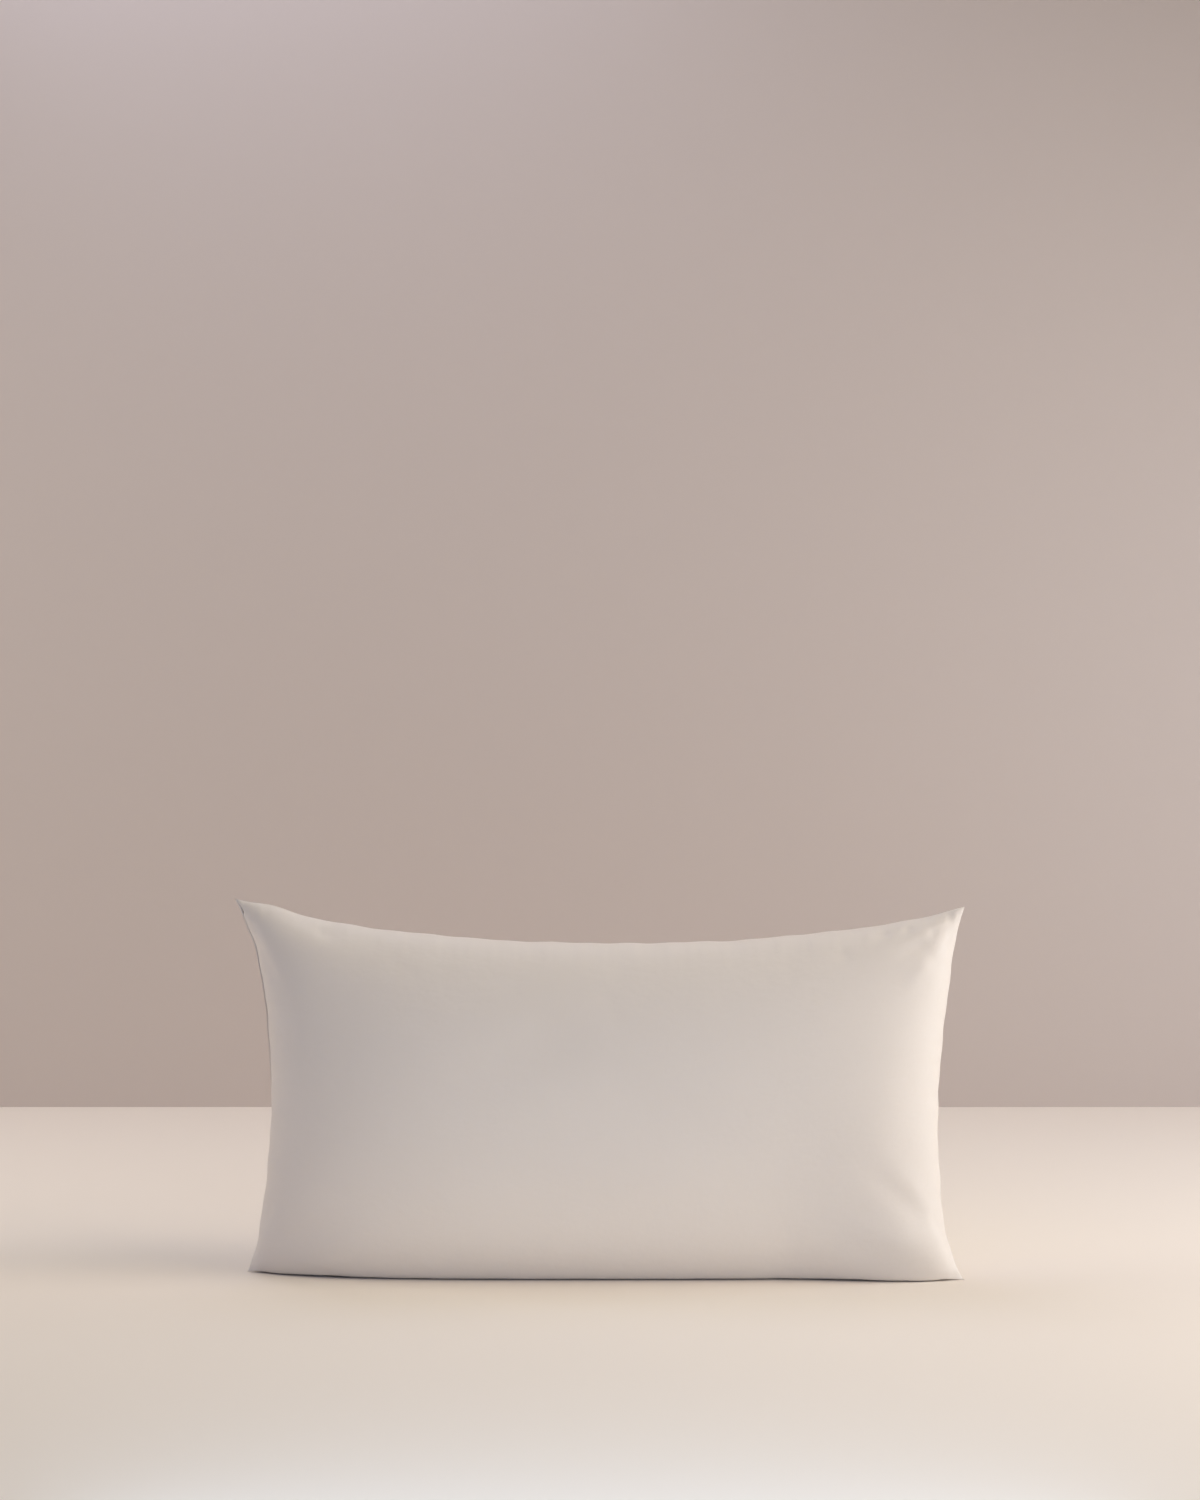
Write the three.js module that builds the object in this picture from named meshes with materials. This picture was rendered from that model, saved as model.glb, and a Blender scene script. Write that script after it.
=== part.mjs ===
// A king-size bed pillow standing on one long edge: a tuck-in pillowcase over a piped, fibre-filled insert.
// X runs from end to end, Y through the thickness with the front face at -Y, and Z up from the floor.
// The origin is on the floor under the middle of the pillow. Lengths are in millimetres.
//
// Every layer follows one skin. A point of the skin has two coordinates: u runs from the left end (-1) to the
// right end (1), and v from the bottom seam (-1) to the top seam (1). Inner layers lie a stated depth under it.
// The case's mouth, closed by a tuck-in flap, is at the left end.
import * as THREE from "three";

// The filled pillow's outside.
const TIP_SPAN = 868; // from corner tip to corner tip
const TIP_HEIGHT = 446; // the upper corner tips above the floor
const LOFT = 190; // thickness through the middle
const TOP_SAG = 48; // how far the top edge dips between its tips
const END_SAG = 32; // how far each end pulls in between its tips
const BASE_SINK = 30; // how much of the round underside the floor flattens
const SEAM_RECESS = 5; // the bottom seam above the floor, between the two bellies
const GROOVE = 16; // half the width of the groove that this seam lies in
const END_ROUND = 3.2; // how late the thickness falls off towards the ends
const EDGE_ROUND = 2.2; // the same towards the long edges
const END_BLUNT = 0.52; // under 1 is a blunt end, 1 a knife edge
const EDGE_BLUNT = 0.58;
const EAR_REACH = 30; // how far the flat corner ears reach in
const EAR_FLAT = 0.35; // how much of the thickness the ears lose at their tips
const TIP_LIFT = 6; // the power with which the underside rises towards the ends

// Cloth and trimmings.
const CLOTH = 0.6; // one ply of pillowcase or ticking
const LABEL = 0.4; // woven label
const GAP = 0.3; // between two plies that lie on each other
const HEM_DEPTH = 35; // the back panel's turned hem at the mouth
const FLAP_DEPTH = 180; // the tuck-in flap behind the mouth
const ALLOWANCE = 7; // the overlocked seam allowance inside the case
const ALLOWANCE_PLIES = 2;
const ALLOWANCE_STOP = 30; // how far, at least, the allowances stop short of the corner tips
const SEAM_CLEAR = 20; // how far the hem and the flap stop short of the top and bottom seams
const LABEL_LENGTH = 60;
const LABEL_WIDTH = 30;
const LABEL_RISE = 76; // a label's lower edge above the bottom seam

// The insert and its filling.
const INSERT_INSET = 20; // the insert's outline inside the case's outline
const PIPING = 4.4; // diameter of the corded edge
const PIPING_SLIT = 80; // the angle over which the piping's cover is open, towards the seam
const COVER_SIDES = 6;
const CORD_SIDES = 8;
const FILL_INSET = 28;
const FILL_GAP = 0.5; // between the ticking and the wrap
const FILL_EDGE = 2; // half the thickness of the fibre wrap at its rim
const EDGE_RADIUS = 30; // how soon the insert and its filling reach their full thickness
const BATT = 22; // thickness of one side of the fibre wrap
const CORE_INSET = 50;
const CORE_RADIUS = 60;
const CORE_EDGE = 1;

// The mesh's lines, as distances in from an end and from a long edge.
const FINEST_CELL = 5;
const END_LINES = [7, INSERT_INSET, HEM_DEPTH, CORE_INSET, INSERT_INSET + LABEL_LENGTH, 125, FLAP_DEPTH, 260, 350];
const EDGE_LINES = [7, SEAM_CLEAR, INSERT_INSET, 32, CORE_INSET, LABEL_RISE, LABEL_RISE + LABEL_WIDTH, 150];

const HALF_SPAN = TIP_SPAN / 2;
const HALF_HEIGHT = TIP_HEIGHT / 2;
const FRONT = 1;
const BACK = -1;

// Depths under the skin, from the outside in.
const HEM_TOP = CLOTH + GAP;
const FLAP_TOP = HEM_TOP + CLOTH + GAP;
const CASE_LABEL_TOP = CLOTH + GAP;
const TICKING_FRONT = CASE_LABEL_TOP + LABEL + GAP;
const TICKING_BACK = FLAP_TOP + CLOTH + GAP;
const INSERT_LABEL_TOP = TICKING_BACK - GAP - LABEL;
const FILL_FRONT = TICKING_FRONT + CLOTH + FILL_GAP;
const FILL_BACK = TICKING_BACK + CLOTH + FILL_GAP;

// The allowances start a little inside the panels' rims. The insert's bottom edge clears the case's bottom
// seam with its allowance and the piping.
const ALLOWANCE_START = CLOTH + 2 * GAP;
const INSERT_LIFT = SEAM_RECESS + ALLOWANCE_START + ALLOWANCE + GAP + PIPING + GAP;

// Linens and fibre.
const cloth = (color, roughness = 0.9) => new THREE.MeshStandardMaterial({ color, roughness, metalness: 0 });
const CASE_CLOTH = cloth(0xece5db, 0.75);
const TICKING_CLOTH = cloth(0xf4f2ee, 0.85);
const PIPING_CLOTH = cloth(0xe6e1d8);
const CORD_COTTON = cloth(0xd9d2c4);
const THREAD = cloth(0xe4dccf, 0.7);
const LABEL_TAPE = cloth(0xfafaf8, 0.6);
const FIBRE = cloth(0xfdfdfb, 1);

const pillow = new THREE.Group();

function add(name, geometry, material) {
  const mesh = new THREE.Mesh(geometry, material);
  mesh.name = name;
  pillow.add(mesh);
}

const clamped = (t) => Math.min(Math.max(t, 0), 1);
const smooth = (t) => clamped(t) ** 2 * (3 - 2 * clamped(t));

// A coordinate past a seam comes back over the other half of the pillow.
const turnedBack = (t) => (Math.abs(t) > 1 ? Math.sign(t) * (2 - Math.abs(t)) : t);

// The front half of the skin. Past a seam it carries on over the back half, so that slopes can be taken there.
function skin(u, v) {
  const over = (Math.abs(u) > 1 ? -1 : 1) * (Math.abs(v) > 1 ? -1 : 1);
  const a = turnedBack(u);
  const b = turnedBack(v);
  const x = a * (HALF_SPAN - END_SAG * (1 - b * b));
  const top = TIP_HEIGHT - TOP_SAG * (1 - a * a);
  const bottom = SEAM_RECESS - (BASE_SINK + SEAM_RECESS) * (1 - a ** TIP_LIFT);
  const free = bottom + ((top - bottom) * (b + 1)) / 2;
  const alongEnds = Math.max(0, 1 - Math.abs(a) ** END_ROUND) ** END_BLUNT;
  const alongEdges = Math.max(0, 1 - Math.abs(b) ** EDGE_ROUND) ** EDGE_BLUNT;
  const fromTip = Math.hypot((1 - Math.abs(a)) * HALF_SPAN, (1 - Math.abs(b)) * HALF_HEIGHT);
  const ear = 1 - EAR_FLAT * Math.exp(-((fromTip / EAR_REACH) ** 2));
  const half = (LOFT / 2) * alongEnds * alongEdges * ear;
  const floor = SEAM_RECESS * (1 - smooth(half / GROOVE));
  return new THREE.Vector3(x, -over * half, Math.max(free, floor));
}

// The skin's outward direction at a point of the front half.
function outward(u, v) {
  const step = 0.004;
  const along = skin(u + step, v).sub(skin(u - step, v));
  const up = skin(u, v + step).sub(skin(u, v - step));
  const normal = along.cross(up);
  if (normal.length() < 1e-6) normal.set(Math.sign(u), 0, Math.sign(v));
  return normal.normalize();
}

// How full a layer is at a distance in from its own rim, from 0 to 1.
const fullness = (room, radius) => Math.sqrt(1 - (1 - clamped(room / radius)) ** 2);

// A point at a depth under the skin, on one side of the pillow. A layer with an inset has a rounded rim there,
// and the rim of the insert's layers is lifted off the floor. Nothing crosses the middle plane.
function under(u, v, { depth, side, inset = 0, edge = GAP / 2 }) {
  const point = skin(u, v).addScaledVector(outward(u, v), -depth);
  const endRoom = (1 - Math.abs(u)) * HALF_SPAN - inset;
  const edgeRoom = (1 - Math.abs(v)) * HALF_HEIGHT - inset;
  const nearEnd = inset ? fullness(endRoom, EDGE_RADIUS) : 1;
  const nearEdge = inset ? fullness(edgeRoom, EDGE_RADIUS) : 1;
  const half = Math.max(-point.y * nearEnd * nearEdge, edge);
  const lowest = inset && v < 0 ? depth + INSERT_LIFT * (1 - nearEdge) : 0;
  return new THREE.Vector3(point.x, -side * half, Math.max(point.z, lowest));
}

// Coordinates of the mesh's lines from seam to seam, for a layer whose rim lies that far in.
function lines(distances, half, inset) {
  const apart = [...new Set(distances)].filter((d) => d > inset + FINEST_CELL && d < half - FINEST_CELL);
  const coordinates = [inset, ...apart.sort((a, b) => a - b)].map((d) => 1 - d / half);
  return [...coordinates.map((c) => -c), 0, ...coordinates.reverse()];
}

const columns = (inset) => lines(END_LINES, HALF_SPAN, inset);
const rows = (inset) => lines(EDGE_LINES, HALF_HEIGHT, inset);
const between = (coordinates, low, high) => coordinates.filter((c) => c > low - 1e-9 && c < high + 1e-9);

function geometryOf(positions, triangles) {
  const geometry = new THREE.BufferGeometry();
  geometry.setAttribute("position", new THREE.Float32BufferAttribute(positions, 3));
  geometry.setIndex(triangles);
  geometry.computeVertexNormals();
  return geometry;
}

// A closed body between two surfaces over the same grid. The first one faces away from the middle plane. The
// cells of every layer are cut along the same diagonals, so that thin plies stay parallel.
function bodyBetween(us, vs, outer, inner, side = FRONT) {
  const positions = [];
  const triangles = [];
  for (const surface of [outer, inner]) {
    for (const v of vs) {
      for (const u of us) positions.push(...surface(u, v).toArray());
    }
  }
  const at = (layer, i, j) => (layer * vs.length + j) * us.length + i;
  const cell = ([a, b, c, d], turned, flipped) => {
    const halves = turned ? [a, b, d, b, c, d] : [a, b, c, a, c, d];
    triangles.push(...(flipped ? halves.reverse() : halves));
  };
  for (let j = 0; j < vs.length - 1; j++) {
    for (let i = 0; i < us.length - 1; i++) {
      const turned = (us[i] + us[i + 1]) * (vs[j] + vs[j + 1]) < 0;
      for (const layer of [0, 1]) {
        const corners = [at(layer, i, j), at(layer, i + 1, j), at(layer, i + 1, j + 1), at(layer, i, j + 1)];
        cell(corners, turned, (layer === 1) !== (side === BACK));
      }
    }
  }
  const border = [];
  for (let i = 0; i < us.length - 1; i++) border.push([i, 0]);
  for (let j = 0; j < vs.length - 1; j++) border.push([us.length - 1, j]);
  for (let i = us.length - 1; i > 0; i--) border.push([i, vs.length - 1]);
  for (let j = vs.length - 1; j > 0; j--) border.push([0, j]);
  border.forEach(([i, j], n) => {
    const [k, l] = border[(n + 1) % border.length];
    cell([at(0, k, l), at(0, i, j), at(1, i, j), at(1, k, l)], false, side === BACK);
  });
  return geometryOf(positions, triangles);
}

// One ply of cloth at a depth under the skin.
function ply(us, vs, side, depth, thickness = CLOTH, inset = 0) {
  const outer = (u, v) => under(u, v, { depth, side, inset });
  const inner = (u, v) => under(u, v, { depth: depth + thickness, side, inset: inset && inset + thickness });
  return bodyBetween(us, vs, outer, inner, side);
}

// A section swept along a path in the middle plane. Section points are [outwards from the path, along Y], and
// the corners are mitred. A closed path has no end faces.
function swept(path, section, closed) {
  const positions = [];
  const triangles = [];
  const outwards = (from, to) => new THREE.Vector2(to.y - from.y, from.x - to.x).normalize();
  path.forEach((point, n) => {
    const before = path[n - 1] ?? (closed ? path[path.length - 1] : null);
    const after = path[n + 1] ?? (closed ? path[0] : null);
    const first = outwards(before ?? point, before ? point : after);
    const second = outwards(after ? point : before, after ?? point);
    const mitre = first.clone().add(second).normalize();
    mitre.divideScalar(mitre.dot(first));
    for (const [out, y] of section) positions.push(point.x + mitre.x * out, y, point.y + mitre.y * out);
  });
  const sides = section.length;
  const steps = closed ? path.length : path.length - 1;
  for (let n = 0; n < steps; n++) {
    const here = n * sides;
    const next = ((n + 1) % path.length) * sides;
    for (let k = 0; k < sides; k++) {
      const l = (k + 1) % sides;
      triangles.push(here + k, next + l, next + k, here + k, here + l, next + l);
    }
  }
  if (!closed) {
    const shape = section.map(([out, y]) => new THREE.Vector2(out, y));
    for (const [a, b, c] of THREE.ShapeUtils.triangulateShape(shape, [])) {
      const last = (path.length - 1) * sides;
      triangles.push(a, c, b, last + a, last + b, last + c);
    }
  }
  return geometryOf(positions, triangles);
}

// The seam lines of the case or of the insert along its four sides, each running on from the one before, with
// the interior on the left.
function seamLines(inset, depth, endStop = inset, edgeStop = inset) {
  const us = columns(inset);
  const vs = rows(inset);
  const alongEdge = between(us, -1 + endStop / HALF_SPAN, 1 - endStop / HALF_SPAN);
  const alongEnd = between(vs, -1 + edgeStop / HALF_HEIGHT, 1 - edgeStop / HALF_HEIGHT);
  const place = (u, v) => {
    const point = under(u, v, { depth, side: FRONT, inset });
    return new THREE.Vector2(point.x, point.z);
  };
  return {
    bottom: alongEdge.map((u) => place(u, vs[0])),
    right: alongEnd.map((v) => place(us[us.length - 1], v)),
    top: alongEdge.map((u) => place(u, vs[vs.length - 1])).reverse(),
    left: alongEnd.map((v) => place(us[0], v)).reverse(),
  };
}

// A round section at a distance outside the path, from one angle to another.
function arc(centre, radius, sides, from = 0, to = 360) {
  const count = to - from < 360 ? sides + 1 : sides;
  const angles = Array.from({ length: count }, (_, k) => THREE.MathUtils.degToRad(from + ((to - from) * k) / sides));
  return angles.map((angle) => [centre + radius * Math.cos(angle), radius * Math.sin(angle)]);
}

// Pillowcase: two panels seamed along the long edges and the right end, open between them at the left end.
function pillowcase() {
  const us = columns(0);
  const vs = rows(0);
  add("case_front_panel", ply(us, vs, FRONT, 0), CASE_CLOTH);
  add("case_back_panel", ply(us, vs, BACK, 0), CASE_CLOTH);

  // The back panel's hem, turned under at the mouth, and the flap tucked in behind it.
  const clearOfSeams = 1 - SEAM_CLEAR / HALF_HEIGHT;
  const seamRows = between(vs, -clearOfSeams, clearOfSeams);
  const hemColumns = between(us, -1, -1 + HEM_DEPTH / HALF_SPAN);
  const flapColumns = between(us, -1, -1 + FLAP_DEPTH / HALF_SPAN);
  add("case_mouth_hem", ply(hemColumns, seamRows, BACK, HEM_TOP), CASE_CLOTH);
  add("case_tuck_flap", ply(flapColumns, seamRows, BACK, FLAP_TOP), CASE_CLOTH);

  // The two panels' allowances, overlocked together inside the seams.
  const outer = -ALLOWANCE_START;
  const inner = outer - ALLOWANCE;
  const half = (ALLOWANCE_PLIES * CLOTH) / 2;
  const strip = [[inner, -half], [outer, -half], [outer, half], [inner, half]];
  const seams = seamLines(0, 0, ALLOWANCE_STOP, ALLOWANCE_STOP);
  add("case_bottom_overlock", swept(seams.bottom, strip, false), THREAD);
  add("case_end_overlock", swept(seams.right, strip, false), THREAD);
  add("case_top_overlock", swept(seams.top, strip, false), THREAD);

  add("case_care_label", label(-1, FRONT, CASE_LABEL_TOP), LABEL_TAPE);
}

// A woven label lying flat on the cloth, sewn in at one end of the pillow.
function label(end, side, depth) {
  const near = 1 - INSERT_INSET / HALF_SPAN;
  const far = near - LABEL_LENGTH / HALF_SPAN;
  const us = between(columns(0), ...(end < 0 ? [-near, -far] : [far, near]));
  const low = -1 + LABEL_RISE / HALF_HEIGHT;
  const vs = between(rows(0), low, low + LABEL_WIDTH / HALF_HEIGHT);
  return ply(us, vs, side, depth, LABEL);
}

// Insert: two panels of ticking, with a piping seamed between them all round.
function insertCover() {
  const us = columns(INSERT_INSET);
  const vs = rows(INSERT_INSET);
  add("ticking_front_panel", ply(us, vs, FRONT, TICKING_FRONT, CLOTH, INSERT_INSET), TICKING_CLOTH);
  add("ticking_back_panel", ply(us, vs, BACK, TICKING_BACK, CLOTH, INSERT_INSET), TICKING_CLOTH);

  const { bottom, right, top, left } = seamLines(INSERT_INSET, TICKING_FRONT);
  const round = [bottom, right, top, left].flatMap((side) => side.slice(1));
  const centre = GAP + PIPING / 2;
  const bore = PIPING / 2 - CLOTH;
  const open = 180 - PIPING_SLIT / 2;
  const cover = [...arc(centre, PIPING / 2, COVER_SIDES, -open, open)];
  cover.push(...arc(centre, bore, COVER_SIDES, -open, open).reverse());
  add("insert_piping_cover", swept(round, cover, true), PIPING_CLOTH);
  add("insert_piping_cord", swept(round, arc(centre, bore - GAP, CORD_SIDES), true), CORD_COTTON);

  add("insert_care_label", label(1, BACK, INSERT_LABEL_TOP), LABEL_TAPE);
}

// Filling: a fibre batt on each side, meeting at the rim, round a core of loose fibre.
function filling() {
  const depths = { [FRONT]: FILL_FRONT, [BACK]: FILL_BACK };
  const wrapOuter = (side) => (u, v) => under(u, v, { depth: depths[side], side, inset: FILL_INSET, edge: FILL_EDGE });

  // The core's face, or with a gap the wrap's face over it. Past the core's rim the two wraps meet.
  const overCore = (side, gap) => (u, v) => {
    const point = wrapOuter(side)(u, v);
    const endRoom = (1 - Math.abs(u)) * HALF_SPAN - CORE_INSET;
    const edgeRoom = (1 - Math.abs(v)) * HALF_HEIGHT - CORE_INSET;
    if (Math.min(endRoom, edgeRoom) < -1e-6) return point.setY((-side * GAP) / 2);
    const nearEdge = fullness(edgeRoom, CORE_RADIUS);
    const full = Math.max(0, Math.abs(point.y) - BATT) * fullness(endRoom, CORE_RADIUS) * nearEdge;
    const lowest = depths[side] + (INSERT_LIFT + BATT) * (1 - nearEdge);
    const z = v < 0 ? Math.max(point.z, lowest) + GAP - gap : point.z;
    return point.set(point.x, -side * (CORE_EDGE + full + gap), z);
  };
  const us = columns(FILL_INSET);
  const vs = rows(FILL_INSET);
  add("fill_wrap_front", bodyBetween(us, vs, wrapOuter(FRONT), overCore(FRONT, GAP), FRONT), FIBRE);
  add("fill_wrap_back", bodyBetween(us, vs, wrapOuter(BACK), overCore(BACK, GAP), BACK), FIBRE);
  const coreColumns = columns(CORE_INSET);
  const coreRows = rows(CORE_INSET);
  add("fill_core", bodyBetween(coreColumns, coreRows, overCore(FRONT, 0), overCore(BACK, 0)), FIBRE);
}

pillowcase();
insertCover();
filling();

export default pillow;
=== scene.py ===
# A king-size bed pillow standing on its long edge: a sateen pillowcase with a tuck-in flap, over a piped
# insert of fibre in cotton ticking. Lengths are in metres. X runs from the case's open end to its seamed end,
# and the front faces -Y.
import math

import bpy
import numpy as np
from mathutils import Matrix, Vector


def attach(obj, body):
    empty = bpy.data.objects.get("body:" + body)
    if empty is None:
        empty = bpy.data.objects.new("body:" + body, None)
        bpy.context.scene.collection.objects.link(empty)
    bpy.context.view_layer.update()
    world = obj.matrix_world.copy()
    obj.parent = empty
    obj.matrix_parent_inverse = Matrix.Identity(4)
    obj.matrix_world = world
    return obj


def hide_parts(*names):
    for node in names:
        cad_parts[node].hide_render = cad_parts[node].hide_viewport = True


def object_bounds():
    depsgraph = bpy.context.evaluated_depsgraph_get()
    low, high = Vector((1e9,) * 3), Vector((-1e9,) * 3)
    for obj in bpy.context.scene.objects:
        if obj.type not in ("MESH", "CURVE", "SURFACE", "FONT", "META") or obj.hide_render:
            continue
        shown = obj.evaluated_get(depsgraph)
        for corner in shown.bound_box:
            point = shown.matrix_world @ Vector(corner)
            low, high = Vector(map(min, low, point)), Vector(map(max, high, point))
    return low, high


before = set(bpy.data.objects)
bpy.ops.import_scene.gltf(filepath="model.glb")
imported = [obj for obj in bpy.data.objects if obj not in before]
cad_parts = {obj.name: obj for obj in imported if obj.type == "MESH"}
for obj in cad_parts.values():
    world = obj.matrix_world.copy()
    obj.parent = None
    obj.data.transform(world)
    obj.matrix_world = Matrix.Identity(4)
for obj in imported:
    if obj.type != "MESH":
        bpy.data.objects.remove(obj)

cad_low, cad_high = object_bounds()


# --------------------------------------------------------------------------------------------------------
# Camera. It stands level in front of the pillow, a little above its top edge, with a long lens.
camera_data = bpy.data.cameras.new("camera")
camera_data.sensor_width = 36
camera_data.lens = 67.2
camera = bpy.data.objects.new("camera", camera_data)
camera.location = (0.0, -3.334, 0.6215)
camera.rotation_euler = (math.radians(90), 0.0, 0.0)
bpy.context.scene.collection.objects.link(camera)
bpy.context.scene.camera = camera


# --------------------------------------------------------------------------------------------------------
# Studio. A plain pale floor and a plain backdrop. Soft light comes mostly from the right, weaker light from
# the left, from behind and from above, and the floor in front throws some back. None of it belongs to the
# pillow.
FLOOR_HALF = 7.0
BACKDROP_AT = 1.54
BACKDROP_TOP = 3.2


def plain_paint(name, colour, roughness):
    paint = bpy.data.materials.new(name)
    paint.use_nodes = True
    shader = paint.node_tree.nodes["Principled BSDF"]
    shader.inputs["Base Color"].default_value = (*colour, 1.0)
    shader.inputs["Roughness"].default_value = roughness
    shader.inputs["Specular IOR Level"].default_value = 0.25
    return paint


def object_from(name, points, faces, smooth=True):
    mesh = bpy.data.meshes.new(name)
    mesh.from_pydata(np.asarray(points).tolist(), [], faces if isinstance(faces, list) else faces.tolist())
    mesh.update()
    mesh.polygons.foreach_set("use_smooth", np.full(len(mesh.polygons), smooth))
    made = bpy.data.objects.new(name, mesh)
    bpy.context.scene.collection.objects.link(made)
    return made


FLAT_FACE = [[0, 1, 2, 3]]
floor = object_from("floor", [
    (-FLOOR_HALF, -FLOOR_HALF, 0.0), (FLOOR_HALF, -FLOOR_HALF, 0.0),
    (FLOOR_HALF, FLOOR_HALF, 0.0), (-FLOOR_HALF, FLOOR_HALF, 0.0)], FLAT_FACE, smooth=False)
floor.data.materials.append(plain_paint("floor_paint", (0.88, 0.815, 0.74), 0.7))
backdrop = object_from("backdrop", [
    (-FLOOR_HALF, BACKDROP_AT, 0.0), (FLOOR_HALF, BACKDROP_AT, 0.0),
    (FLOOR_HALF, BACKDROP_AT, BACKDROP_TOP), (-FLOOR_HALF, BACKDROP_AT, BACKDROP_TOP)],
    FLAT_FACE, smooth=False)
backdrop_paint = plain_paint("backdrop_paint", (0.60, 0.53, 0.475), 0.9)
backdrop.data.materials.append(backdrop_paint)

# The backdrop is painted on its front only, and lets everything through from behind.
tree = backdrop_paint.node_tree
from_behind = tree.nodes.new("ShaderNodeNewGeometry").outputs["Backfacing"]
clear_back = tree.nodes.new("ShaderNodeBsdfTransparent")
painted_front = tree.nodes.new("ShaderNodeMixShader")
tree.links.new(from_behind, painted_front.inputs[0])
tree.links.new(tree.nodes["Principled BSDF"].outputs[0], painted_front.inputs[1])
tree.links.new(clear_back.outputs[0], painted_front.inputs[2])
tree.links.new(painted_front.outputs[0], tree.nodes["Material Output"].inputs["Surface"])

PANELS = {  # name: (place, aim, side of the square panel, watts of red, green and blue)
    "key_right": ((1.9, -0.4, 1.7), (0.1, 0.0, 0.15), 0.9, (21.9, 19.7, 18.2)),
    "key_behind_right": ((2.5, 0.35, 0.9), (0.1, 0.0, 0.15), 0.9, (10.7, 12.8, 16.2)),
    "fill_front_right": ((1.7, -1.3, 0.45), (0.1, 0.0, 0.2), 0.8, (5.0, 5.2, 5.2)),
    "bounce_front": ((0.0, -1.1, 0.03), (0.0, -0.1, 0.25), 0.9, (1.9, 2.6, 3.5)),
    "bounce_low": ((-0.05, -0.46, 0.004), (-0.05, -0.46, 1.0), 0.7, (0.40, 0.37, 0.33)),
    "fill_left": ((-2.4, 0.3, 1.4), (0.0, 0.0, 0.15), 1.4, (17.6, 17.2, 17.2)),
    "fill_behind": ((-0.5, 1.1, 2.4), (0.0, 0.0, 0.1), 1.4, (10.8, 11.4, 14.8)),
}
SKIES = {  # name: (where it is from the pillow, its width in degrees, strength of red, green and blue)
    "sky_right": ((1.0, -0.6, 0.7), 30, (0.535, 0.450, 0.345)),
    "sky_front": ((-0.5, -1.0, 0.9), 60, (0.010, 0.020, 0.230)),
    "sky_above": ((0.0, -0.2, 1.0), 70, (0.427, 0.364, 0.100)),
}


def add_light(name, kind, place, aim, strength):
    data = bpy.data.lights.new(name, kind)
    data.energy = max(strength)
    data.color = [share / max(strength) for share in strength]
    light = bpy.data.objects.new(name, data)
    light.location = place
    light.rotation_euler = (Vector(aim) - Vector(place)).to_track_quat("-Z", "Y").to_euler()
    light.visible_camera = False
    bpy.context.scene.collection.objects.link(light)
    return data


for name, (place, aim, side, watts) in PANELS.items():
    add_light(name, "AREA", place, aim, watts).size = side
for name, (place, width, strength) in SKIES.items():
    add_light(name, "SUN", place, (0.0, 0.0, 0.0), strength).angle = math.radians(width)
world = bpy.data.worlds.new("studio")
world.use_nodes = True
tree = world.node_tree
wall_tone = tree.nodes["Background"]
wall_tone.inputs["Color"].default_value = (0.58, 0.52, 0.475, 1.0)
ambient = tree.nodes.new("ShaderNodeBackground")
ambient.inputs["Color"].default_value = (1.0, 0.95, 0.9, 1.0)
ambient.inputs["Strength"].default_value = 0.03
seen_or_lit = tree.nodes.new("ShaderNodeMixShader")
tree.links.new(tree.nodes.new("ShaderNodeLightPath").outputs["Is Camera Ray"], seen_or_lit.inputs[0])
tree.links.new(ambient.outputs[0], seen_or_lit.inputs[1])
tree.links.new(wall_tone.outputs[0], seen_or_lit.inputs[2])
tree.links.new(seen_or_lit.outputs[0], tree.nodes["World Output"].inputs["Surface"])
bpy.context.scene.world = world
bpy.context.scene.view_settings.view_transform = "Standard"


# --------------------------------------------------------------------------------------------------------
# Case, front and back. Two panels of ivory cotton sateen, cut to one rectangle, are sewn together along the
# long edges and the right end. Stretched over the insert they draw in between four pointed ears. The slack
# cloth at the corners gathers into small puckers, and the insert's own weight flattens the underside.
FRONT = -1
BACK = 1
SPAN = cad_high.x - cad_low.x
HEIGHT = cad_high.z - cad_low.z
LOFT = cad_high.y - cad_low.y
CLOTH = 0.0006           # one ply
GAP = 0.0003             # between two plies that lie on each other
CUT_LENGTH = 0.914
CUT_WIDTH = 0.508
LEFT_DROP = 0.003        # the upper left tip below the box's top, and the right one
RIGHT_DROP = 0.011
TOP_SAG = 0.046
LEFT_PULL = 0.040        # how far each end draws in between its tips
RIGHT_PULL = 0.031
LEFT_BOW = (1.6, 2.2)    # how late each end's pull fades towards its lower and its upper tip
RIGHT_BOW = (2.6, 1.2)
BOW_BLUNT = 0.87
LEFT_LEAN = 0.014        # how far each lower tip is in from the upper one
RIGHT_LEAN = 0.007
END_POWER = 3.0          # how late along the length the ends' pull and lean are felt
LEFT_EAR_RISE = 0.0042   # how far the open end's upper ear stands above the sagging edge
LEFT_EAR_AT = 0.045      # the middle of that rise from the tip, and its reach
LEFT_EAR_REACH = 0.042
SAG_POWER = 2.2
END_ROUND = 3.2          # how late the thickness falls off towards the ends, and how blunt they are
END_BLUNT = 0.52
EDGE_ROUND = 2.2         # the same towards the long edges
EDGE_BLUNT = 0.58
EAR_FLAT = 0.35          # how much of the thickness the ears lose at their tips, and how far in
EAR_REACH = 0.030
SPREAD = 0.15            # how much blunter the underside is than the top
BASE_SINK = 0.030        # how much of the round underside the floor flattens, in the middle and at a tip
TIP_SINK = 0.004
SINK_POWER = 8
SEAM_RECESS = 0.005      # the bottom seam above the floor, in a groove between the two bellies
GROOVE = 0.016
BASE_EASE = 0.0035       # how gently the cloth leaves the floor
SWAY = 0.050             # the lower right ear, forward of the middle
ACROSS = 225             # points along the cloth's length and its width, about 4 mm apart
UP = 127


def smoothstep(t):
    t = np.clip(t, 0.0, 1.0)
    return t * t * (3 - 2 * t)


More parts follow.
